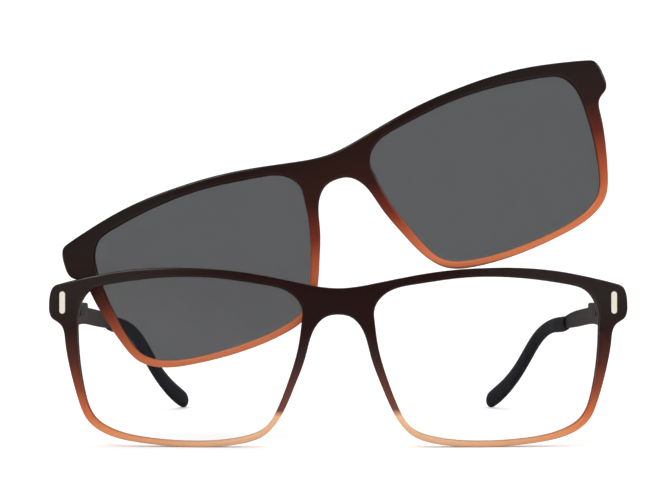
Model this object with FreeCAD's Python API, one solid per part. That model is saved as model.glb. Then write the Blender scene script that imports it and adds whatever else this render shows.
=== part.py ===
"""Eyeglasses with a magnetic clip-on sun lens, in millimetres.

The glasses stand on a level surface on their two rims and two temple tips. +Z is up, the front faces -Y,
and +X points to the wearer's left. The clip-on is parked behind the front: it rests on the right end
block and on the top bar, tilted so that its left half stands above the front.

Shapes are drawn in the "front frame", whose origin is on the table below the middle of the bridge, with
Y = 0 at the foremost point of the front. place() then moves each one into the row frame.
"""
import FreeCAD
import Part
import math
import os

from FreeCAD import Placement, Rotation, Vector

# ---- driving dimensions -------------------------------------------------------------------------
OVERALL_DEPTH = 141.4        # front face to the ends of the temple tips
WRAP_RADIUS = 520.0          # plan radius of the front's outer surface
FRONT_THICK = 3.8

LENS_THICK = 1.4
LENS_DEPTH = 1.2             # from the front's outer surface to the lens
LENS_GROOVE = 0.5            # how far the lens reaches into the rim

CLIP_THICK = 1.9
CLIP_LENS_THICK = 0.9
CLIP_LENS_DEPTH = 0.5
CLIP_GROOVE = 0.45
CLIP_RIM_EXTRA = 0.3         # the clip-on's rims reach this much further over its lenses

BLOCK_BACK = 11.7            # rear face of the end blocks
BLOCK_INNER_X = 64.6
PLATE_THICK = 0.7
EYE_RADIUS = 1.35
HINGE_X = 66.0               # hinge axis, parallel to Z
HINGE_Y = BLOCK_BACK + PLATE_THICK + EYE_RADIUS + 0.05
HINGE_Z = 32.9               # middle of the barrel
EYE_HEIGHT = 1.1             # each of the two fixed eyes
SLIDER_EYE_HEIGHT = 1.3
EYE_GAP = 0.05
SCREW_RADIUS = 0.6
SCREW_CLEARANCE = 0.05

MAGNET_X = 67.2
MAGNET_Z = 34.9
MAGNET_WIDTH = 1.4
MAGNET_LENGTH = 5.4
MAGNET_DEPTH = 1.3
MAGNET_PROUD = 0.08

HOUSING_FRONT = HINGE_Y + 2.2
HOUSING_LENGTH = 13.0
HOUSING_HEIGHT = 3.6
HOUSING_INNER_X = 64.5
SHANK_WIDTH = 1.5            # slider shank, along X
SHANK_HEIGHT = 1.3           # slider shank, along Z
SHANK_END = HINGE_Y + 6.4
SLIDE_FIT = 0.05
ROD_RADIUS = 0.35
CHAMBER_RADIUS = 0.95
SPRING_TRAVEL = 0.8
SPRING_WIRE = 0.13
SPRING_TURNS = 7

ARM_THICK = 1.2
TIP_START = 66.0

# the parked clip-on: where the middle of its top edge stands, and how it is turned
CLIP_PARK_X = -2.6
CLIP_PARK_Y = 4.0
CLIP_PARK_Z = 71.3
CLIP_TILT = 19.4             # left half up
CLIP_YAW = 1.2               # right half back
CLIP_LEAN = 0.5              # top edge back

FRONT_Y = -OVERALL_DEPTH / 2  # the row frame's origin is under the middle of the whole object
UP = Vector(0, 0, 1)
BACK = Vector(0, 1, 0)


# ---- small helpers ------------------------------------------------------------------------------
def front_xz(points):
    """Points of the front view as vectors in the XZ plane."""
    return [Vector(x, 0, z) for x, z in points]


def spline(points, start=None, end=None):
    """An edge through the points, with the end tangents where they are given."""
    curve = Part.BSplineCurve()
    if start is None:
        curve.interpolate(Points=points)
    else:
        curve.interpolate(Points=points, InitialTangent=start, FinalTangent=end)
    return curve.toShape()


def loop_curve(points):
    """A smooth closed curve through (x, z) points of the front view."""
    curve = Part.BSplineCurve()
    curve.interpolate(Points=front_xz(points), PeriodicFlag=True)
    return curve


def loop(points, pieces=12):
    """The closed curve as a wire of that many edges, which meet smoothly."""
    curve = loop_curve(points)
    first, last = curve.FirstParameter, curve.LastParameter
    cuts = [first + (last - first) * i / pieces for i in range(pieces + 1)]
    return Part.Wire([curve.toShape(a, b) for a, b in zip(cuts, cuts[1:])])


def grown(points, amount, steps=40):
    """The loop moved outwards by an amount, as new points."""
    curve = loop_curve(points)
    first, last = curve.FirstParameter, curve.LastParameter
    middle = Vector(*[sum(c) / len(points) for c in zip(*[(x, 0, z) for x, z in points])])
    moved = []
    for i in range(steps):
        t = first + (last - first) * i / steps
        p, along = curve.value(t), curve.tangent(t)[0]
        normal = Vector(along.z, 0, -along.x)
        if normal.dot(p - middle) < 0:
            normal = -normal
        moved.append((p.x + normal.x * amount, p.z + normal.z * amount))
    return moved


def arc(a, b, c):
    return Part.Arc(a, b, c).toShape()


def line(a, b):
    return Part.makeLine(a, b)


def box(low, high):
    size = [h - l for l, h in zip(low, high)]
    return Part.makeBox(*size, Vector(*low))


def mirrored(shape):
    """The wearer's right-hand piece from the left-hand one."""
    return shape.mirror(Vector(0, 0, 0), Vector(1, 0, 0))


def through(wire, length=60.0):
    """The solid that a front-view outline cuts along Y."""
    face = Part.Face(wire) if isinstance(wire, Part.Wire) else wire
    solid = face.extrude(Vector(0, length, 0))
    solid.translate(Vector(0, -length / 2, 0))
    return solid


def curved_slab(depth, thick):
    """The wrapped layer of the front between two depths below its outer surface."""
    height = 60.0
    base = Vector(0, WRAP_RADIUS, -5.0)
    outer = Part.makeCylinder(WRAP_RADIUS - depth, height, base, UP)
    inner = Part.makeCylinder(WRAP_RADIUS - depth - thick, height, base, UP)
    near_half = box((-90, -30, -5), (90, 60, 55))
    return outer.cut(inner).common(near_half)


def wrap_y(x):
    """Depth of the front's outer surface at x."""
    return WRAP_RADIUS - math.sqrt(WRAP_RADIUS ** 2 - x ** 2)


def round_edges(shape, chosen, radius, name):
    """Fillets the chosen edges, and lowers the radius until the kernel accepts it."""
    edges = [e for e in shape.Edges if chosen(e)]
    while radius > 0.1:
        try:
            rounded = shape.makeFillet(radius, edges)
            if rounded.isValid():
                print(f"{name}: {len(edges)} edges rounded to {radius:.2f}")
                return rounded
        except Part.OCCError:
            pass
        radius *= 0.85
    print(f"{name}: left sharp")
    return shape


def on_surface(depth, edge):
    """Whether an edge lies on the wrapped surface at that depth."""
    first, last = edge.ParameterRange
    for share in (0.0, 0.3, 0.5, 0.8, 1.0):
        p = edge.valueAt(first + share * (last - first))
        if abs(math.hypot(p.x, p.y - WRAP_RADIUS) - (WRAP_RADIUS - depth)) > 0.01:
            return False
    return True


# ---- outlines in the front view -----------------------------------------------------------------
APERTURE = [(8.7, 31.4), (9.5, 35.0), (12.2, 37.5), (18.8, 39.3), (28.0, 40.65), (37.5, 41.15), (48.0, 40.5),
            (56.1, 39.3), (60.7, 37.7), (63.0, 34.2), (63.6, 28.5), (63.2, 21.5), (61.9, 13.5), (59.2, 7.0),
            (54.5, 4.0), (45.5, 2.0), (33.5, 1.4), (23.0, 2.5), (17.9, 4.6), (14.5, 9.7), (11.8, 16.7), (9.7, 24.0)]
# from the middle of the bridge along the top edge, round the end, and back under the rim
OUTLINE = [(0, 38.4), (9.0, 39.6), (20.0, 41.75), (30.0, 43.0), (37.5, 43.35), (45.0, 43.3), (53.0, 42.6),
           (61.0, 41.15), (67.9, 39.5), (69.4, 38.85), (70.2, 37.5), (70.6, 34.6), (70.4, 32.1), (69.85, 31.1),
           (68.9, 30.4), (67.7, 29.5), (67.0, 28.3), (66.6, 26.0), (65.4, 19.2), (63.2, 11.3), (60.9, 6.4),
           (56.8, 3.3), (48.5, 1.1), (34.0, 0.0), (24.5, 0.7), (18.0, 2.8), (13.6, 7.9), (10.6, 14.5), (7.9, 21.8),
           (5.6, 28.8), (3.0, 31.4), (0, 32.0)]


def lens_outline(side, amount=0.0):
    """The front's lens opening on the wearer's left (1) or right (-1), grown by an amount."""
    points = grown(APERTURE, amount) if amount else APERTURE
    return loop([(side * x, z) for x, z in points])


def front_outline():
    """The whole outer outline. It starts at the side, since a seam in the middle can't be rounded."""
    points = OUTLINE + [(-x, z) for x, z in OUTLINE[-2:0:-1]]
    return loop(points[4:] + points[:4], 24)


# ---- the front ----------------------------------------------------------------------------------
def end_block(profile):
    """The thick rear part of the wearer's left end, which carries the hinge."""
    return profile.common(box((BLOCK_INNER_X, wrap_y(BLOCK_INNER_X) + 1.5, 30.0), (72, BLOCK_BACK, 45)))


def nose_pad():
    """The moulded pad behind the nasal rim: a flattened ellipsoid that leans with the rim."""
    pad = Part.makeSphere(1.0)
    stretch = FreeCAD.Matrix()
    stretch.scale(0.9, 2.8, 6.0)
    pad = pad.transformGeometry(stretch)
    pad.rotate(Vector(0, 0, 0), UP, -6)
    pad.rotate(Vector(0, 0, 0), BACK, -16)
    pad.translate(Vector(9.85, 4.6, 19.2))
    behind_rim = box((0, 2.2, 5), (20, 12, 36))
    return pad.common(behind_rim)


def make_front(lenses, magnets):
    profile = through(front_outline())
    blank = profile
    for side in (1, -1):
        blank = blank.cut(through(lens_outline(side)))
    front = blank.common(curved_slab(0, FRONT_THICK)).Solids[0]
    front = round_edges(front, lambda e: on_surface(0, e), 0.55, "front face")
    front = round_edges(front, lambda e: on_surface(FRONT_THICK, e), 0.45, "rear face")
    block = end_block(profile)
    pad = nose_pad().cut(through(lens_outline(1)))
    for piece in (block, mirrored(block), pad, mirrored(pad)):
        front = front.fuse(piece)
    for insert in lenses + magnets:
        front = front.cut(insert)
    return front.removeSplitter()


def make_lens(side):
    return through(lens_outline(side, LENS_GROOVE)).common(curved_slab(LENS_DEPTH, LENS_THICK))


def pill(width, length, depth):
    """A round-ended bar with its face on Y = 0 and its body behind it, standing along Z."""
    r = width / 2
    h = length / 2 - r
    points = front_xz([(-r, h), (0, h + r), (r, h), (r, -h), (0, -h - r), (-r, -h)])
    wire = Part.Wire([arc(*points[0:3]), line(points[2], points[3]), arc(*points[3:6]), line(points[5], points[0])])
    return Part.Face(wire).extrude(Vector(0, depth, 0))


def on_front(shape, x, z, depth=0.0):
    """Turns a shape drawn on Y = 0 to stand on the wrapped surface at (x, z)."""
    turn = math.degrees(math.asin(x / WRAP_RADIUS))
    shape = shape.copy()
    shape.Placement = Placement(Vector(0, 0, 0), Rotation(UP, turn))
    normal = Vector(-math.sin(math.radians(turn)), math.cos(math.radians(turn)), 0)
    shape.translate(Vector(x, wrap_y(x), z) + normal * depth)
    return shape


def make_magnet(side):
    bar = pill(MAGNET_WIDTH, MAGNET_LENGTH, MAGNET_DEPTH + MAGNET_PROUD)
    return on_front(bar, side * MAGNET_X, MAGNET_Z, -MAGNET_PROUD)


# ---- the hinge, drawn on the wearer's left ------------------------------------------------------
BARREL_HEIGHT = 2 * EYE_HEIGHT + SLIDER_EYE_HEIGHT + 2 * EYE_GAP
BARREL_LOW = HINGE_Z - BARREL_HEIGHT / 2
PLATE_LOW = (HINGE_X - EYE_RADIUS, BLOCK_BACK, 31.0)
PLATE_HIGH = (HINGE_X + 2.0, BLOCK_BACK + PLATE_THICK, 38.4)
PLATE_SCREW_X = HINGE_X + 0.4
PLATE_SCREW_Z = (36.1, 37.6)
PLATE_SCREW_RADIUS = 0.4
PLATE_SCREW_LENGTH = 2.6


def eye(low, height, bore):
    """A knuckle round the hinge axis with a web to the front."""
    ring = Part.makeCylinder(EYE_RADIUS, height, Vector(HINGE_X, HINGE_Y, low), UP)
    hole = Part.makeCylinder(bore, height, Vector(HINGE_X, HINGE_Y, low), UP)
    return ring, hole


def make_hinge_plate():
    plate = box(PLATE_LOW, PLATE_HIGH)
    plate = round_edges(plate, lambda e: abs(e.tangentAt(e.FirstParameter).y) > 0.9, 0.5, "hinge plate")
    tops = (BARREL_LOW, BARREL_LOW + BARREL_HEIGHT - EYE_HEIGHT)
    for low in tops:
        ring, hole = eye(low, EYE_HEIGHT, SCREW_RADIUS + SCREW_CLEARANCE)
        web = box((HINGE_X - EYE_RADIUS, BLOCK_BACK, low), (HINGE_X + EYE_RADIUS, HINGE_Y, low + EYE_HEIGHT))
        plate = plate.fuse(ring.fuse(web)).cut(hole)
    for screw in make_plate_screws().Solids:
        plate = plate.cut(screw)
    return plate.removeSplitter()


def screw(radius, length, head_radius, head_height, slot_width):
    """A slotted screw along -Z from the origin, with its head above."""
    shank = Part.makeCylinder(radius, length, Vector(0, 0, -length), UP)
    head = Part.makeCylinder(head_radius, head_height, Vector(0, 0, 0), UP)
    head = round_edges(head, lambda e: abs(e.CenterOfMass.z - head_height) < 1e-6 and len(e.Vertexes) == 1,
                       head_height * 0.45, "screw head")
    slot = box((-head_radius - 1, -slot_width / 2, head_height * 0.5), (head_radius + 1, slot_width / 2, 5))
    return shank.fuse(head.cut(slot))


def make_plate_screws():
    """The two small screws that hold the hinge plate to the end block."""
    screws = []
    for z in PLATE_SCREW_Z:
        one = screw(PLATE_SCREW_RADIUS, PLATE_SCREW_LENGTH, 0.65, 0.3, 0.18)
        one.rotate(Vector(0, 0, 0), Vector(1, 0, 0), -90)
        one.translate(Vector(PLATE_SCREW_X, BLOCK_BACK + PLATE_THICK, z))
        screws.append(one)
    return Part.makeCompound(screws)


def make_hinge_screw():
    one = screw(SCREW_RADIUS, BARREL_HEIGHT, 1.0, 0.5, 0.22)
    one.translate(Vector(HINGE_X, HINGE_Y, BARREL_LOW + BARREL_HEIGHT))
    return one


# ---- the spring hinge's moving half -------------------------------------------------------------
ROD_END = HINGE_Y + 13.2
NUT_LENGTH = 0.8
NUT_FRONT = ROD_END - NUT_LENGTH
SHOULDER_FRONT = SHANK_END + SPRING_TRAVEL + 0.2
SHOULDER_BACK = SHOULDER_FRONT + 0.7
HOUSING_BACK = HOUSING_FRONT + HOUSING_LENGTH
CAP_LENGTH = 0.9


def make_slider():
    """The plunger: an eye on the hinge screw, a square shank and a round rod that carries the spring."""
    low = HINGE_Z - SLIDER_EYE_HEIGHT / 2
    ring, hole = eye(low, SLIDER_EYE_HEIGHT, SCREW_RADIUS + SCREW_CLEARANCE)
    shank = box((HINGE_X - SHANK_WIDTH / 2, HINGE_Y, low), (HINGE_X + SHANK_WIDTH / 2, SHANK_END, low + SHANK_HEIGHT))
    rod = Part.makeCylinder(ROD_RADIUS, ROD_END - SHANK_END + 0.5, Vector(HINGE_X, SHANK_END - 0.5, HINGE_Z), BACK)
    return ring.fuse([shank, rod]).cut(hole).removeSplitter()


def make_spring_nut():
    """The nut on the rod's end that the spring pushes against."""
    nut = Part.makeCylinder(CHAMBER_RADIUS - 0.08, NUT_LENGTH, Vector(HINGE_X, NUT_FRONT, HINGE_Z), BACK)
    return nut.cut(make_slider())


def make_spring():
    """The coil spring round the rod, between the housing's shoulder and the nut."""
    mean = ROD_RADIUS + SPRING_WIRE + 0.12
    start = SHOULDER_BACK + SPRING_WIRE
    height = NUT_FRONT - SPRING_WIRE - start
    helix = Part.makeHelix(height / SPRING_TURNS, height, mean)
    circle = Part.Wire(Part.makeCircle(SPRING_WIRE, Vector(mean, 0, 0), Vector(0, 1, 0)))
    coil = Part.Wire(helix).makePipeShell([circle], True, True)
    coil.rotate(Vector(0, 0, 0), Vector(1, 0, 0), -90)
    coil.translate(Vector(HINGE_X, start, HINGE_Z))
    return coil


def housing_block():
    block = box((HOUSING_INNER_X, HOUSING_FRONT, HINGE_Z - HOUSING_HEIGHT / 2),
                (HINGE_X + 1.9, HOUSING_BACK, HINGE_Z + HOUSING_HEIGHT / 2))

    def inner_long(e):
        a, b = e.Vertexes[0].Point, e.Vertexes[-1].Point
        return abs(a.x - b.x) < 1e-6 and abs(a.x - HOUSING_INNER_X) < 1e-6
    return round_edges(block, inner_long, 0.7, "housing")


def make_housing(arm):
    """The spring box on the inside of the arm: a square way for the shank, a shoulder, and the spring's chamber."""
    fit = SLIDE_FIT
    way = box((HINGE_X - SHANK_WIDTH / 2 - fit, HOUSING_FRONT - 1, HINGE_Z - SHANK_HEIGHT / 2 - fit),
              (HINGE_X + SHANK_WIDTH / 2 + fit, SHOULDER_FRONT, HINGE_Z + SHANK_HEIGHT / 2 + fit))
    rod_hole = Part.makeCylinder(ROD_RADIUS + fit, 4.0, Vector(HINGE_X, SHOULDER_FRONT - 1, HINGE_Z), BACK)
    chamber = Part.makeCylinder(CHAMBER_RADIUS, HOUSING_LENGTH, Vector(HINGE_X, SHOULDER_BACK, HINGE_Z), BACK)
    return housing_block().cut([way, rod_hole, chamber, arm])


def make_cap():
    """The round plug that closes the spring's chamber."""
    return Part.makeCylinder(CHAMBER_RADIUS, CAP_LENGTH, Vector(HINGE_X, HOUSING_BACK - CAP_LENGTH, HINGE_Z), BACK)


# ---- the temple ---------------------------------------------------------------------------------
# plan path of the arm and of the tip, and the side view's middle line, as (Y, X) and (Y, Z)
PLAN = [(12.35, 69.4), (18.0, 68.4), (28.0, 67.65), (45.0, 66.3), (68.0, 64.3), (95.0, 60.4), (118.0, 55.2),
        (140.0, 49.0)]
ARM_TOP = [(12.1, 38.5), (17.0, 37.0), (25.0, 35.1), (42.0, 33.2), (68.0, 30.4)]
ARM_LOW = [(12.1, 30.9), (16.0, 29.5), (22.0, 28.6), (32.0, 29.0), (48.0, 28.4), (68.0, 27.2)]
TIP_MIDDLE = [(TIP_START - 0.5, 29.0), (80.0, 27.7), (91.0, 26.2), (100.0, 22.2), (111.0, 15.4), (124.0, 8.1),
              (134.0, 3.8), (141.4, 1.5)]
# the tip's sections: share of its length, half height in the side view, half thickness
TIP_SECTIONS = [(0.0, 1.8, 1.25), (0.03, 2.0, 1.4), (0.2, 2.05, 1.45), (0.4, 2.15, 1.5), (0.6, 2.35, 1.5),
                (0.78, 2.6, 1.5), (0.93, 2.7, 1.45)]
TIP_ROUNDING = 6             # sections that close the tip's end like half an ellipse


def plan_curve():
    points = [Vector(x, y, 0) for y, x in PLAN]
    curve = Part.BSplineCurve()
    curve.interpolate(Points=points)
    return curve


def plan_x(y):
    """X of the arm's middle surface at y."""
    cut = Part.makeLine(Vector(0, y, 0), Vector(100, y, 0))
    found = plan_curve().toShape().distToShape(cut)[1][0][0]
    return found.x


def side_x(points):
    return [Vector(0, y, z) for y, z in points]


def plan_band(half):
    """The arm's plate seen from above, as a tall solid of that half thickness about the plan path."""
    middle = plan_curve()
    inner, outer = [], []
    first, last = middle.FirstParameter, middle.LastParameter
    steps = 24
    for i in range(steps + 1):
        t = first + (last - first) * i / steps
        p = middle.value(t)
        tangent = middle.tangent(t)[0]
        across = Vector(tangent.y, -tangent.x, 0)
        outer.append(p + across * half)
        inner.append(p - across * half)
    a, b = spline(outer), spline(inner)
    face = Part.Face(Part.Wire(Part.__sortEdges__([a, line(outer[-1], inner[-1]), b, line(inner[0], outer[0])])))
    return face.extrude(Vector(0, 0, 60))


def side_plate(top, low):
    """The solid that a side-view outline between two splines cuts along X."""
    top, low = side_x(top), side_x(low)
    edges = [spline(top), line(top[-1], low[-1]), spline(low), line(low[0], top[0])]
    return Part.Face(Part.Wire(Part.__sortEdges__(edges))).extrude(Vector(100, 0, 0))


def make_core():
    """The narrow end of the arm, which runs inside the tip almost to its end."""
    middle = [(TIP_START - 2.0, 29.15)] + TIP_MIDDLE[:-2]
    plate = side_plate([(y, z + 0.8) for y, z in middle], [(y, z - 0.8) for y, z in middle])
    return plate.common(plan_band(ARM_THICK / 2 - 0.15))


def make_arm(core):
    """The metal arm: a tapering plate, which ends where the tip starts, and its core."""
    plate = side_plate(ARM_TOP, ARM_LOW).common(box((0, 0, 0), (100, TIP_START, 60)))
    plate = plate.common(plan_band(ARM_THICK / 2))
    plate = round_edges(plate, lambda e: e.Length > 30, 0.3, "arm")
    return plate.fuse(core)


def tip_path():
    """The tip's middle line in space: the side view's line on the arm's plan path."""
    side = Part.BSplineCurve()
    side.interpolate(Points=side_x(TIP_MIDDLE))
    points = []
    steps = 16
    for i in range(steps + 1):
        p = side.value(side.FirstParameter + (side.LastParameter - side.FirstParameter) * i / steps)
        points.append(Vector(plan_x(p.y), p.y, p.z))
    path = Part.BSplineCurve()
    path.interpolate(Points=points)
    return path


def tip_section(path, share, half_height, half_thick):
    """An ellipse across the path, with its long axis upright in the side view."""
    t = path.FirstParameter + (path.LastParameter - path.FirstParameter) * share
    centre = path.value(t)
    along = path.tangent(t)[0]
    across = along.cross(UP).normalize()
    upward = across.cross(along).normalize()
    ellipse = Part.Ellipse(centre + upward * half_height, centre + across * half_thick, centre)
    return Part.Wire(ellipse.toShape())


def make_tip(core):
    path = tip_path()
    sections = [tip_section(path, *s) for s in TIP_SECTIONS]
    start, half_height, half_thick = TIP_SECTIONS[-1]
    for i in range(1, TIP_ROUNDING + 1):
        turn = math.radians(84.0 * i / TIP_ROUNDING)
        shrink = math.cos(turn)
        share = start + (1 - start) * math.sin(turn)
        sections.append(tip_section(path, share, half_height * shrink, half_thick * shrink))
    tip = Part.makeLoft(sections, True, False)
    return tip.cut([core, box((0, 0, 0), (100, TIP_START, 60))])


# ---- the clip-on, drawn as if it were in place on the front -------------------------------------
def make_clip_front(inserts):
    """The clip-on's frame: the front's outline, with its rear face on the front's outer surface."""
    profile = through(front_outline())
    for side in (1, -1):
        profile = profile.cut(through(lens_outline(side, -CLIP_RIM_EXTRA)))
    frame = profile.common(curved_slab(-CLIP_THICK, CLIP_THICK)).Solids[0]
    frame = round_edges(frame, lambda e: on_surface(-CLIP_THICK, e), 0.55, "clip-on face")
    frame = round_edges(frame, lambda e: on_surface(0, e), 0.3, "clip-on rear")
    return frame.cut(inserts)


def make_clip_lens(side):
    outline = lens_outline(side, CLIP_GROOVE - CLIP_RIM_EXTRA)
    return through(outline).common(curved_slab(-CLIP_THICK + CLIP_LENS_DEPTH, CLIP_LENS_THICK))


def make_clip_magnet(side):
    bar = pill(MAGNET_WIDTH, MAGNET_LENGTH, 1.0)
    return on_front(bar, side * MAGNET_X, MAGNET_Z, -1.0)


def parked(shape):
    """Moves a piece of the clip-on from its place on the front to where it is parked."""
    shape = shape.copy()
    shape.translate(Vector(0, CLIP_THICK, -38.7))
    turn = Rotation(UP, -CLIP_YAW) * Rotation(Vector(0, -1, 0), CLIP_TILT) * Rotation(Vector(1, 0, 0), -CLIP_LEAN)
    shape.Placement = Placement(Vector(CLIP_PARK_X, CLIP_PARK_Y, CLIP_PARK_Z), turn).multiply(shape.Placement)
    return shape


# ---- everything ---------------------------------------------------------------------------------
def place(shape):
    """Moves a shape from the front frame into the row frame."""
    shape = shape.copy()
    shape.translate(Vector(0, FRONT_Y, 0))
    return shape


def both_sides(name, left_shape):
    return {f"left_{name}": left_shape, f"right_{name}": mirrored(left_shape)}


def build():
    lenses = {"left_lens": make_lens(1), "right_lens": make_lens(-1)}
    magnets = {"left_magnet": make_magnet(1), "right_magnet": make_magnet(-1)}
    plate_screws = make_plate_screws()
    screw_holes = [plate_screws, mirrored(plate_screws)]
    nodes = {**lenses, **magnets}
    nodes["front"] = make_front(list(lenses.values()), list(magnets.values()) + screw_holes)
    core = make_core()
    arm = make_arm(core)
    nodes.update(both_sides("hinge_plate", make_hinge_plate()))
    nodes.update(both_sides("plate_screws", plate_screws))
    nodes.update(both_sides("hinge_screw", make_hinge_screw()))
    nodes.update(both_sides("spring_slider", make_slider()))
    nodes.update(both_sides("spring_nut", make_spring_nut()))
    nodes.update(both_sides("hinge_spring", make_spring()))
    nodes.update(both_sides("spring_housing", make_housing(arm)))
    nodes.update(both_sides("housing_cap", make_cap()))
    nodes.update(both_sides("temple_arm", arm))
    nodes.update(both_sides("temple_tip", make_tip(core)))
    clip = {"clip_left_lens": make_clip_lens(1), "clip_right_lens": make_clip_lens(-1),
            "clip_left_magnet": make_clip_magnet(1), "clip_right_magnet": make_clip_magnet(-1)}
    clip["clip_front"] = make_clip_front(list(clip.values()))
    nodes.update({name: parked(shape) for name, shape in clip.items()})
    return {name: place(shape) for name, shape in nodes.items()}


def main():
    os.makedirs("parts", exist_ok=True)
    for name, shape in sorted(build().items()):
        shape.exportStep(f"parts/{name}.step")
        print(f"{name}: {len(shape.Solids)} solid, volume {shape.Volume:.1f} mm3")


main()
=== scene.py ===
"""Eyeglasses with a clip-on sun lens front: materials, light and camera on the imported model.

Lengths are in metres in the row frame, unless a name says otherwise. The acetate fades from dark brown
at the top edge to amber and peach at the lower rims; the clip-on's acetate does the same in its own,
tilted frame.
"""
import math

import bpy
import numpy as np
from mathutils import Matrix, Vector

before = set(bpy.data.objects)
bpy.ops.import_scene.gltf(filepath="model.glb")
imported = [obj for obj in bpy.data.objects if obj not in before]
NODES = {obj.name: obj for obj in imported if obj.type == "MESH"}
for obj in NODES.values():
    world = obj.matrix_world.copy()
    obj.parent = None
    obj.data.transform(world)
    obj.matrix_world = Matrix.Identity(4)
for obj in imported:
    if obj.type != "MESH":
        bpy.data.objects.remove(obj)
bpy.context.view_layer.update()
SIDES = ("left", "right")

FRONT_Y = -0.0707            # the foremost point of the front
SHEET_HEIGHT = 0.0433        # of the acetate front, lower rims to top edge

# the clip-on's own frame: its origin, its turn, and the height of its lower rims in that frame
CLIP_ORIGIN = (-0.0026, FRONT_Y + 0.004, 0.0713)
CLIP_TURN = (math.radians(-0.5), math.radians(-19.4), math.radians(-1.2))
CLIP_BASE = -0.0387

WHITE = (1.0, 1.0, 1.0, 1.0)


# ---- node helpers -------------------------------------------------------------------------------
def material(name, **inputs):
    """A new material, its node tree and its Principled shader, with the given constant inputs."""
    finish = bpy.data.materials.new(name)
    finish.use_nodes = True
    tree = finish.node_tree
    shader = tree.nodes["Principled BSDF"]
    for key, value in inputs.items():
        shader.inputs[key.replace("_", " ")].default_value = value
    return finish, tree, shader


def add(tree, kind, **settings):
    """A new node. A setting that starts with in_ is the value of the input of that name."""
    node = tree.nodes.new(kind)
    for key, value in settings.items():
        if key.startswith("in_"):
            node.inputs[key[3:].replace("_", " ")].default_value = value
        else:
            setattr(node, key, value)
    return node


def math_node(tree, operation, a, b=None, clamp=False):
    node = add(tree, "ShaderNodeMath", operation=operation, use_clamp=clamp)
    for socket, value in zip(node.inputs, (a, b)):
        if isinstance(value, (int, float)):
            socket.default_value = value
        elif value is not None:
            tree.links.new(value, socket)
    return node.outputs[0]


def swing(tree, value, size):
    """A noise value between 0 and 1, centred on zero and scaled."""
    return math_node(tree, "MULTIPLY", math_node(tree, "SUBTRACT", value, 0.5), size)


def noise(tree, vector, scale, detail, roughness=0.5):
    node = add(tree, "ShaderNodeTexNoise", in_Scale=scale, in_Detail=detail, in_Roughness=roughness)
    tree.links.new(vector, node.inputs["Vector"])
    return node.outputs[0]


def ramp(tree, factor, stops):
    node = add(tree, "ShaderNodeValToRGB")
    elements = node.color_ramp.elements
    while len(elements) < len(stops):
        elements.new(0.5)
    for element, (position, colour) in zip(elements, stops):
        element.position = position
        element.color = (*colour, 1.0)
    tree.links.new(factor, node.inputs[0])
    return node.outputs["Color"]


def split(tree, vector):
    node = add(tree, "ShaderNodeSeparateXYZ")
    tree.links.new(vector, node.inputs[0])
    return node.outputs


def mix_colour(tree, factor, a, b):
    """From a to b by the factor. A Mix node's colour sockets share their names with others, so they
    are taken by number."""
    node = add(tree, "ShaderNodeMix", data_type="RGBA")
    colour_a, colour_b, result = node.inputs[6], node.inputs[7], node.outputs[2]
    for socket, value in ((node.inputs["Factor"], factor), (colour_a, a), (colour_b, b)):
        if isinstance(value, tuple):
            socket.default_value = (*value, 1.0)
        else:
            tree.links.new(value, socket)
    return result


def bump(tree, height, distance, strength):
    node = add(tree, "ShaderNodeBump", in_Strength=strength, in_Distance=distance)
    tree.links.new(height, node.inputs["Height"])
    return node.outputs["Normal"]


def object_coordinates(tree, origin=(0, 0, 0), turn=(0, 0, 0)):
    """Object coordinates, moved and turned into the frame that has that origin and turn."""
    coordinates = add(tree, "ShaderNodeTexCoord")
    mapping = add(tree, "ShaderNodeMapping", vector_type="TEXTURE",
                  in_Location=origin, in_Rotation=turn)
    tree.links.new(coordinates.outputs["Object"], mapping.inputs["Vector"])
    return mapping.outputs["Vector"]


def new_group(name, inputs, outputs):
    """A shader node group. inputs are (name, socket type, default), outputs are names of floats."""
    group = bpy.data.node_groups.new(name, "ShaderNodeTree")
    for label, kind, default in inputs:
        socket = group.interface.new_socket(label, in_out="INPUT", socket_type=kind)
        if default is not None:
            socket.default_value = default
    for label in outputs:
        group.interface.new_socket(label, in_out="OUTPUT", socket_type="NodeSocketFloat")
    given, out = group.nodes.new("NodeGroupInput"), group.nodes.new("NodeGroupOutput")
    return group, given.outputs, out.inputs


def use_group(tree, group, **values):
    node = tree.nodes.new("ShaderNodeGroup")
    node.node_tree = group
    for key, value in values.items():
        socket = node.inputs[key]
        if isinstance(value, bpy.types.NodeSocket):
            tree.links.new(value, socket)
        else:
            socket.default_value = value
    return node.outputs


# ---- shared effects -----------------------------------------------------------------------------
def sheet_layers():
    """Where a point lies in faded acetate sheet: its share of the sheet's height, blurred by a faint
    cloudy figure, and how far it lies from the nose towards the temples, both from 0 to 1."""
    group, given, out = new_group(
        "sheet layers",
        [("Vector", "NodeSocketVector", None), ("Base", "NodeSocketFloat", 0.0)],
        ["Height", "Side"])
    cloud_depth = 0.0022
    nasal_x, temporal_x = 0.020, 0.052
    drift = swing(group, noise(group, given["Vector"], scale=60.0, detail=3.0), cloud_depth)
    x, _, z = split(group, given["Vector"])
    risen = math_node(group, "ADD", math_node(group, "SUBTRACT", z, given["Base"]), drift)
    group.links.new(math_node(group, "DIVIDE", risen, SHEET_HEIGHT, clamp=True), out["Height"])
    side = add(group, "ShaderNodeMapRange", interpolation_type="SMOOTHSTEP",
               in_From_Min=nasal_x, in_From_Max=temporal_x)
    group.links.new(math_node(group, "ABSOLUTE", x), side.inputs["Value"])
    group.links.new(side.outputs[0], out["Side"])
    return group


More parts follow.
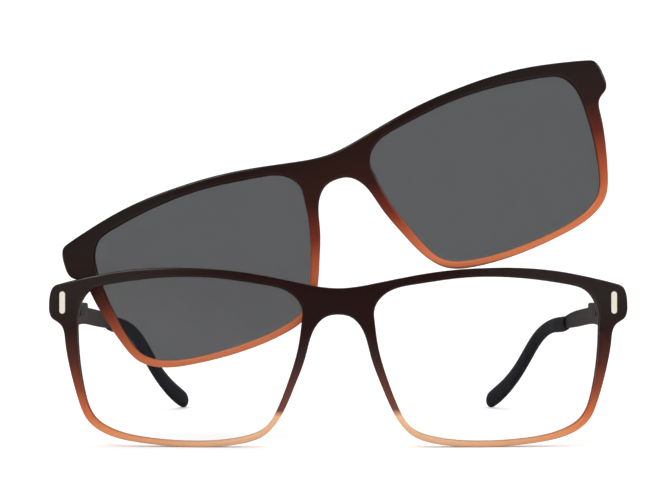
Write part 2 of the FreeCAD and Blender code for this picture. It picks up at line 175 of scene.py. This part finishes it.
def polish_marks():
    """Roughness and height of hand-polished plastic: faint broad waves and finer hairlines."""
    group, given, out = new_group(
        "polish marks",
        [("Vector", "NodeSocketVector", None), ("Roughness", "NodeSocketFloat", 0.12),
         ("Variation", "NodeSocketFloat", 0.08)],
        ["Roughness", "Height"])
    wave_share, hairline_share = 0.8, 0.2
    waves = noise(group, given["Vector"], scale=180.0, detail=2.0)
    hairlines = noise(group, given["Vector"], scale=2600.0, detail=2.0)
    spread = swing(group, waves, given["Variation"])
    group.links.new(math_node(group, "ADD", given["Roughness"], spread), out["Roughness"])
    height = math_node(group, "ADD", math_node(group, "MULTIPLY", waves, wave_share),
                       math_node(group, "MULTIPLY", hairlines, hairline_share))
    group.links.new(height, out["Height"])
    return group


def brushed_lines():
    """Fine lines along one axis: noise stretched by the given scale."""
    group, given, out = new_group(
        "brushed lines",
        [("Vector", "NodeSocketVector", None), ("Stretch", "NodeSocketVector", (900.0, 60.0, 9000.0)),
         ("Roughness", "NodeSocketFloat", 0.35), ("Variation", "NodeSocketFloat", 0.2)],
        ["Roughness", "Height", "Tone"])
    scale = add(group, "ShaderNodeVectorMath", operation="MULTIPLY")
    group.links.new(given["Vector"], scale.inputs[0])
    group.links.new(given["Stretch"], scale.inputs[1])
    lines = noise(group, scale.outputs[0], scale=1.0, detail=4.0, roughness=0.6)
    spread = swing(group, lines, given["Variation"])
    group.links.new(math_node(group, "ADD", given["Roughness"], spread), out["Roughness"])
    group.links.new(lines, out["Height"])
    group.links.new(lines, out["Tone"])
    return group


SHEET = sheet_layers()
POLISH = polish_marks()
BRUSHED = brushed_lines()


# ---- finishes -----------------------------------------------------------------------------------
def acetate(name, nasal, temporal, origin=(0, 0, 0), turn=(0, 0, 0), base_z=0.0):
    """Polished acetate. nasal and temporal are colours by height in millimetres, near the nose and at
    the temples; the sheet blends from one to the other.
    The temporal colours it is given end at the top in a grey-brown painted reflection on the bar's
    ends."""
    finish, tree, shader = material(
        name, IOR=1.49, Specular_IOR_Level=0.4, Coat_Weight=0.12, Coat_Roughness=0.05,
        Subsurface_Weight=0.2, Subsurface_Radius=(0.002, 0.0008, 0.0004), Subsurface_Scale=1.0)
    local = object_coordinates(tree, origin, turn)
    layers = use_group(tree, SHEET, Vector=local, Base=base_z)
    inner, outer = (
        ramp(tree, layers["Height"], [(mm / 1000 / SHEET_HEIGHT, colour) for mm, colour in stops])
        for stops in (nasal, temporal))
    marks = use_group(tree, POLISH, Vector=local, Roughness=0.17, Variation=0.08)
    tree.links.new(mix_colour(tree, layers["Side"], inner, outer), shader.inputs["Base Color"])
    tree.links.new(marks["Roughness"], shader.inputs["Roughness"])
    normal = bump(tree, marks["Height"], distance=0.00002, strength=0.5)
    tree.links.new(normal, shader.inputs["Normal"])
    return finish


def lens(name, colour, cover, edge):
    """A thin lens. Each face takes out a share of the light, cover, and more of it at a slant, edge.
    Faint smears from handling vary its haze, tint and roughness."""
    haze_size, smear_tint = 0.006, 1.15
    smooth, smear_roughness = 0.03, 0.04
    finish, tree, shader = material(name, IOR=1.6)
    smear = noise(tree, object_coordinates(tree), scale=90.0, detail=3.0)
    slant = add(tree, "ShaderNodeLayerWeight", in_Blend=0.12)
    veil = math_node(tree, "MULTIPLY", slant.outputs["Fresnel"], edge)
    haze = math_node(tree, "MULTIPLY", smear, haze_size)
    alpha = math_node(tree, "ADD", math_node(tree, "ADD", veil, haze), cover, clamp=True)
    smeared = tuple(c * smear_tint for c in colour)
    rough = math_node(tree, "ADD", math_node(tree, "MULTIPLY", smear, smear_roughness), smooth)
    tree.links.new(mix_colour(tree, smear, colour, smeared), shader.inputs["Base Color"])
    tree.links.new(alpha, shader.inputs["Alpha"])
    tree.links.new(rough, shader.inputs["Roughness"])
    return finish


def painted_metal(name):
    """Dark brown-grey lacquered metal, brushed along the temple, palest a little behind the hinge."""
    hinge_y, fade_y = FRONT_Y + 0.014, FRONT_Y + 0.068
    streak_share, streak_colour = 0.35, (0.12, 0.10, 0.094)
    finish, tree, shader = material(name, Metallic=0.25, Specular_IOR_Level=0.15)
    local = object_coordinates(tree)
    lines = use_group(tree, BRUSHED, Vector=local, Stretch=(900.0, 40.0, 7000.0),
                      Roughness=0.50, Variation=0.20)
    along = add(tree, "ShaderNodeMapRange", in_From_Min=hinge_y, in_From_Max=fade_y)
    tree.links.new(split(tree, local)["Y"], along.inputs["Value"])
    tone = ramp(tree, along.outputs[0], [(0.0, (0.034, 0.024, 0.022)), (0.30, (0.085, 0.066, 0.062)),
                                         (1.0, (0.022, 0.015, 0.014))])
    share = math_node(tree, "MULTIPLY", lines["Tone"], streak_share)
    tree.links.new(mix_colour(tree, share, tone, streak_colour), shader.inputs["Base Color"])
    tree.links.new(lines["Roughness"], shader.inputs["Roughness"])
    normal = bump(tree, lines["Height"], distance=0.00001, strength=0.6)
    tree.links.new(normal, shader.inputs["Normal"])
    return finish


def bare_metal(name, colour, roughness, stretch, metallic=1.0):
    """Finely brushed metal without paint, a shade darker between its lines."""
    shade = 0.82
    finish, tree, shader = material(name, Metallic=metallic)
    lines = use_group(tree, BRUSHED, Vector=object_coordinates(tree), Stretch=stretch,
                      Roughness=roughness, Variation=0.2)
    dark = tuple(c * shade for c in colour)
    tree.links.new(mix_colour(tree, lines["Tone"], dark, colour), shader.inputs["Base Color"])
    tree.links.new(lines["Roughness"], shader.inputs["Roughness"])
    normal = bump(tree, lines["Height"], distance=0.000008, strength=0.5)
    tree.links.new(normal, shader.inputs["Normal"])
    return finish


def tip_plastic(name):
    """Black temple sleeve with a faint navy cast, satin from handling."""
    finish, tree, shader = material(name, IOR=1.45, Specular_IOR_Level=0.15)
    marks = use_group(tree, POLISH, Vector=object_coordinates(tree), Roughness=0.45, Variation=0.16)
    tone = mix_colour(tree, marks["Height"], (0.0075, 0.0075, 0.012), (0.0125, 0.0125, 0.019))
    tree.links.new(tone, shader.inputs["Base Color"])
    tree.links.new(marks["Roughness"], shader.inputs["Roughness"])
    normal = bump(tree, marks["Height"], distance=0.00003, strength=0.5)
    tree.links.new(normal, shader.inputs["Normal"])
    return finish


def paint(finish, *node_names):
    for node_name in node_names:
        slots = NODES[node_name].data.materials
        slots.clear()
        slots.append(finish)


# colours of the sheet by height above the lower rims, in millimetres. At the temples the top stops are
# grey-brown: painted reflection on the bevelled ends of the top bar, over the sheet's dark brown
FRONT_NASAL = [
    (0, (0.74, 0.44, 0.26)), (7.6, (0.86, 0.50, 0.28)), (9.2, (0.19, 0.062, 0.043)),
    (15, (0.11, 0.034, 0.026)), (21, (0.040, 0.016, 0.014)), (28, (0.018, 0.006, 0.005)),
    (43, (0.016, 0.005, 0.004))]
FRONT_TEMPORAL_WITH_REFLECTION = [
    (0, (0.72, 0.38, 0.21)), (3.0, (0.74, 0.29, 0.12)), (8.0, (0.60, 0.145, 0.050)),
    (14, (0.26, 0.055, 0.022)), (20, (0.090, 0.022, 0.014)), (28, (0.022, 0.010, 0.008)),
    # the grey-brown top stop is painted reflection on the ends of the top bar
    (36, (0.024, 0.017, 0.015))]
CLIP_NASAL = [
    (0, (0.62, 0.18, 0.072)), (6.0, (0.68, 0.19, 0.078)), (13, (0.46, 0.10, 0.038)),
    (20, (0.17, 0.024, 0.011)), (28, (0.036, 0.010, 0.007)), (43, (0.013, 0.007, 0.0055))]
CLIP_TEMPORAL_WITH_REFLECTION = [
    (0, (0.62, 0.19, 0.078)), (6.0, (0.60, 0.16, 0.064)), (14, (0.38, 0.072, 0.028)),
    # the grey-brown top stop is painted reflection on the ends of the clip's top bar
    (22, (0.110, 0.020, 0.011)), (30, (0.026, 0.012, 0.010)), (43, (0.016, 0.012, 0.011))]

front_acetate = acetate("front_acetate", FRONT_NASAL, FRONT_TEMPORAL_WITH_REFLECTION)
clip_acetate = acetate("clip_acetate", CLIP_NASAL, CLIP_TEMPORAL_WITH_REFLECTION, CLIP_ORIGIN, CLIP_TURN, CLIP_BASE)
clear_lens = lens("clear_lens", (0.035, 0.040, 0.040), cover=0.006, edge=0.30)
sun_lens = lens("sun_lens", (0.0045, 0.0065, 0.0125), cover=0.702, edge=0.30)
steel = bare_metal("hinge_steel", (0.62, 0.60, 0.57), roughness=0.28,
                   stretch=(4000.0, 600.0, 4000.0))
# the magnets' cream white is painted reflection of the white studio in polished nickel, laid on as a
# bright base colour with little metallic
nickel = bare_metal("nickel", (0.97, 0.91, 0.77), roughness=0.25,
                    stretch=(5000.0, 5000.0, 400.0), metallic=0.12)
temple_metal = painted_metal("temple_metal")
temple_tip = tip_plastic("temple_tip")

paint(front_acetate, "front")
paint(clip_acetate, "clip_front")
for side in SIDES:
    paint(clear_lens, f"{side}_lens")
    paint(sun_lens, f"clip_{side}_lens")
    paint(nickel, f"{side}_magnet", f"clip_{side}_magnet")
    paint(steel, f"{side}_plate_screws", f"{side}_hinge_screw", f"{side}_spring_nut",
          f"{side}_hinge_spring")
    paint(temple_metal, f"{side}_hinge_plate", f"{side}_spring_slider", f"{side}_spring_housing",
          f"{side}_housing_cap", f"{side}_temple_arm")
    paint(temple_tip, f"{side}_temple_tip")


# ---- floor, light and camera --------------------------------------------------------------------
def place(name, data):
    thing = bpy.data.objects.new(name, data)
    bpy.context.scene.collection.objects.link(thing)
    return thing


def aim(thing, target):
    direction = Vector(target) - Vector(thing.location)
    thing.rotation_euler = direction.to_track_quat("-Z", "Y").to_euler()


def sweep_mesh():
    """A floor that curves up into a backdrop: a level line, a quarter circle and an upright line,
    carried along X. On the quarter circle y = far + r sin t and z = r - r cos t, t from 0 to pi / 2."""
    radius, near, far, top, half_width = 0.35, -0.62, 0.55, 2.2, 3.0
    t = np.linspace(0, math.pi / 2, 24)
    y = np.concatenate([[near, far], far + radius * np.sin(t[1:]), [far + radius]])
    z = np.concatenate([[0.0, 0.0], radius - radius * np.cos(t[1:]), [top]])
    count = len(y)
    x = np.repeat([-half_width, half_width], count)
    grid = np.stack([x, np.tile(y, 2), np.tile(z, 2)], axis=1)
    low = np.arange(count - 1)
    faces = np.stack([low, low + count, low + count + 1, low + 1], axis=1)
    mesh = bpy.data.meshes.new("floor")
    mesh.from_pydata(grid.tolist(), [], faces.tolist())
    mesh.shade_smooth()
    return mesh


def floor_paper():
    """Pale matt paper. Shiny things mirror it darker than it is, and the camera sees it lifted to
    white."""
    mirrored_grey, lift = (0.22, 0.22, 0.22), 0.20
    finish, tree, shader = material("floor", Roughness=0.9, Specular_IOR_Level=0.1,
                                    Emission_Color=WHITE)
    grain = noise(tree, object_coordinates(tree), scale=900.0, detail=2.0)
    pale = mix_colour(tree, grain, (0.93, 0.93, 0.93), (0.955, 0.955, 0.955))
    ray = add(tree, "ShaderNodeLightPath").outputs
    tree.links.new(mix_colour(tree, ray["Is Glossy Ray"], pale, mirrored_grey),
                   shader.inputs["Base Color"])
    tree.links.new(math_node(tree, "MULTIPLY", ray["Is Camera Ray"], lift),
                   shader.inputs["Emission Strength"])
    return finish


def world_light(seen, soft, mirrored):
    """An even studio: its brightness as the camera sees it, as it lights matt things, and as shiny
    things mirror it."""
    world = bpy.data.worlds.new("studio")
    world.use_nodes = True
    tree = world.node_tree
    ray = add(tree, "ShaderNodeLightPath").outputs
    shiny = math_node(tree, "MULTIPLY", ray["Is Glossy Ray"], mirrored - soft)
    direct = math_node(tree, "MULTIPLY", ray["Is Camera Ray"], seen - soft)
    strength = math_node(tree, "ADD", math_node(tree, "ADD", shiny, direct), soft)
    background = tree.nodes["Background"]
    background.inputs["Color"].default_value = WHITE
    tree.links.new(strength, background.inputs["Strength"])
    bpy.context.scene.world = world


def area_light(name, location, size, watts):
    data = bpy.data.lights.new(name, "AREA")
    data.shape = "RECTANGLE"
    data.size, data.size_y = size
    data.energy = watts
    light = place(name, data)
    light.location = location
    aim(light, (0, FRONT_Y, 0.04))


def camera(x, distance, height, target_height, focal_length):
    """A camera in front of the glasses, aimed at the plane of their front. focal_length is in
    millimetres, as the sensor's width is."""
    data = bpy.data.cameras.new("camera")
    data.lens = focal_length
    data.sensor_width = 36.0
    data.clip_start = 0.01
    eye = place("camera", data)
    eye.location = (x, FRONT_Y - distance, height)
    aim(eye, (x, FRONT_Y, target_height))
    bpy.context.scene.camera = eye


floor = place("floor", sweep_mesh())
floor.data.materials.append(floor_paper())

world_light(seen=1.0, soft=0.82, mirrored=0.06)
area_light("key", (-0.5, -0.7, 0.9), size=(0.40, 0.30), watts=2.6)
area_light("fill", (0.7, -0.5, 0.5), size=(0.30, 0.30), watts=1.1)
area_light("top", (0.0, 0.3, 1.1), size=(0.70, 0.40), watts=2.0)
bpy.context.scene.view_settings.view_transform = "Standard"
camera(x=-0.0009, distance=0.400, height=0.038, target_height=0.0482, focal_length=89.3)
